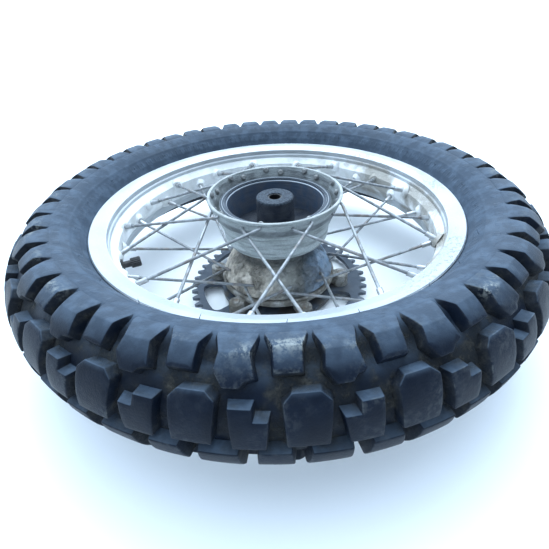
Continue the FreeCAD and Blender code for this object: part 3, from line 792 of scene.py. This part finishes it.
def make_vent_hairs():
    """Thin moulding hairs that stand on the side walls near the rim."""
    verts, faces = [], []
    for i in range(HAIRS):
        flipped = i % 2
        shift, across, lean, length = hair_facts(flipped)
        around = TREAD_PHASE + PITCH * i + shift
        first = len(verts)
        for k in range(HAIR_RINGS):
            share = k / (HAIR_RINGS - 1)
            thick = HAIR_R * (1 - 0.55 * share)
            root = skin_point(across, around + lean * share * share, length * share - 0.0004)
            outward = Vector((root.x, root.y, 0)).normalized()
            side = Vector((-outward.y, outward.x, 0))
            for n in range(HAIR_SIDES):
                turn = 2 * math.pi * n / HAIR_SIDES
                verts.append(root + outward * (thick * math.cos(turn)) + side * (thick * math.sin(turn)))
        rings = [[first + k * HAIR_SIDES + n for n in range(HAIR_SIDES)] for k in range(HAIR_RINGS)]
        shell = [(a[n], a[(n + 1) % HAIR_SIDES], b[(n + 1) % HAIR_SIDES], b[n])
                 for a, b in zip(rings, rings[1:]) for n in range(HAIR_SIDES)]
        shell += [tuple(rings[-1]), tuple(rings[0][::-1])]
        faces += [face[::-1] if flipped else face for face in shell]
    add_piece("vent_hairs", verts, faces, "wheel", looks["tyre_rubber"])


def make_bearing_shield():
    """Dusty shield over the brake-side bearing, level with the boss round it."""
    profile = [(0.0092, 0.0424), (0.0094, 0.0430), (0.0100, 0.0433), (0.0140, 0.04345),
               (0.0200, 0.0434), (0.0222, 0.0436), (0.0232, 0.0434), (0.0238, 0.0429),
               (0.0238, 0.04265), (0.0208, 0.04265), (0.0200, 0.04245), (0.0120, 0.04235)]
    verts, faces = lathe(profile, 96)
    faces = [face[::-1] for face in faces]
    add_piece("bearing_shield_brake", verts, faces, "wheel", looks["hub_casting"])


make_tyre()
make_vent_hairs()
make_bearing_shield()


# ---- floor, light and camera -----------------------------------------------------------------
def make_floor():
    """Plain pale floor that the wheel lies on."""
    size = 40.0
    corners = [(-size, -size, 0), (size, -size, 0), (size, size, 0), (-size, size, 0)]
    mesh = bpy.data.meshes.new("floor")
    mesh.from_pydata(corners, [], [(0, 1, 2, 3)])
    look = Look("floor_paper", roughness=0.8)
    look.base(look.blend(look.noise(0.4, 0.3, 0.7), (0.88, 0.91, 0.93), (0.91, 0.93, 0.95)))
    mesh.materials.append(look.material)
    floor = bpy.data.objects.new("floor", mesh)
    bpy.context.scene.collection.objects.link(floor)


def add_light(name, place, size, power, colour, target=(0, 0, 0.1)):
    """Soft rectangular light that points at the wheel."""
    lamp = bpy.data.lights.new(name, "AREA")
    lamp.shape = "RECTANGLE"
    lamp.size, lamp.size_y = size
    lamp.energy = power
    lamp.color = colour
    light = bpy.data.objects.new(name, lamp)
    bpy.context.scene.collection.objects.link(light)
    light.location = place
    light.rotation_euler = (Vector(target) - Vector(place)).to_track_quat("-Z", "Y").to_euler()


def make_world():
    """Pale blue-white surroundings, brightest above and behind the wheel."""
    world = bpy.data.worlds.new("studio")
    world.use_nodes = True
    bpy.context.scene.world = world
    tree = world.node_tree
    place = tree.nodes.new("ShaderNodeTexCoord")
    lean = tree.nodes.new("ShaderNodeVectorMath")
    lean.operation = "DOT_PRODUCT"
    lean.inputs[1].default_value = (-0.15, 0.80, 0.58)
    tree.links.new(place.outputs["Generated"], lean.inputs[0])
    strength = tree.nodes.new("ShaderNodeMapRange")
    strength.interpolation_type = "SMOOTHSTEP"
    strength.inputs["From Min"].default_value = -0.55
    strength.inputs["From Max"].default_value = 0.75
    strength.inputs["To Min"].default_value = 0.40
    strength.inputs["To Max"].default_value = 2.8
    tree.links.new(lean.outputs["Value"], strength.inputs["Value"])
    sky = tree.nodes["Background"]
    sky.inputs["Color"].default_value = (0.72, 0.90, 1.10, 1.0)
    tree.links.new(strength.outputs["Result"], sky.inputs["Strength"])


def make_camera():
    """Camera at the front, looking down over the near edge of the tyre."""
    yaw, pitch, roll = math.radians(-3.81), math.radians(-36.39), math.radians(-3.01)
    ahead = Vector((-math.sin(yaw) * math.cos(pitch), math.cos(yaw) * math.cos(pitch), math.sin(pitch)))
    level = Vector((math.cos(yaw), math.sin(yaw), 0))
    upright = level.cross(ahead)
    right = level * math.cos(roll) + upright * math.sin(roll)
    up = right.cross(ahead)
    lens = bpy.data.cameras.new("camera")
    lens.lens = 25.96
    lens.sensor_width = 36.0
    lens.clip_start = 0.01
    camera = bpy.data.objects.new("camera", lens)
    bpy.context.scene.collection.objects.link(camera)
    turn = Matrix((right, up, -ahead)).transposed()
    camera.matrix_world = Matrix.Translation((-0.0370, -0.4696, 0.3709)) @ turn.to_4x4()
    bpy.context.scene.camera = camera


make_floor()
make_world()
add_light("overhead", (0.1, 0.8, 1.9), (2.0, 1.2), 28, (0.80, 0.93, 1.0))
make_camera()
bpy.context.scene.view_settings.view_transform = "Standard"
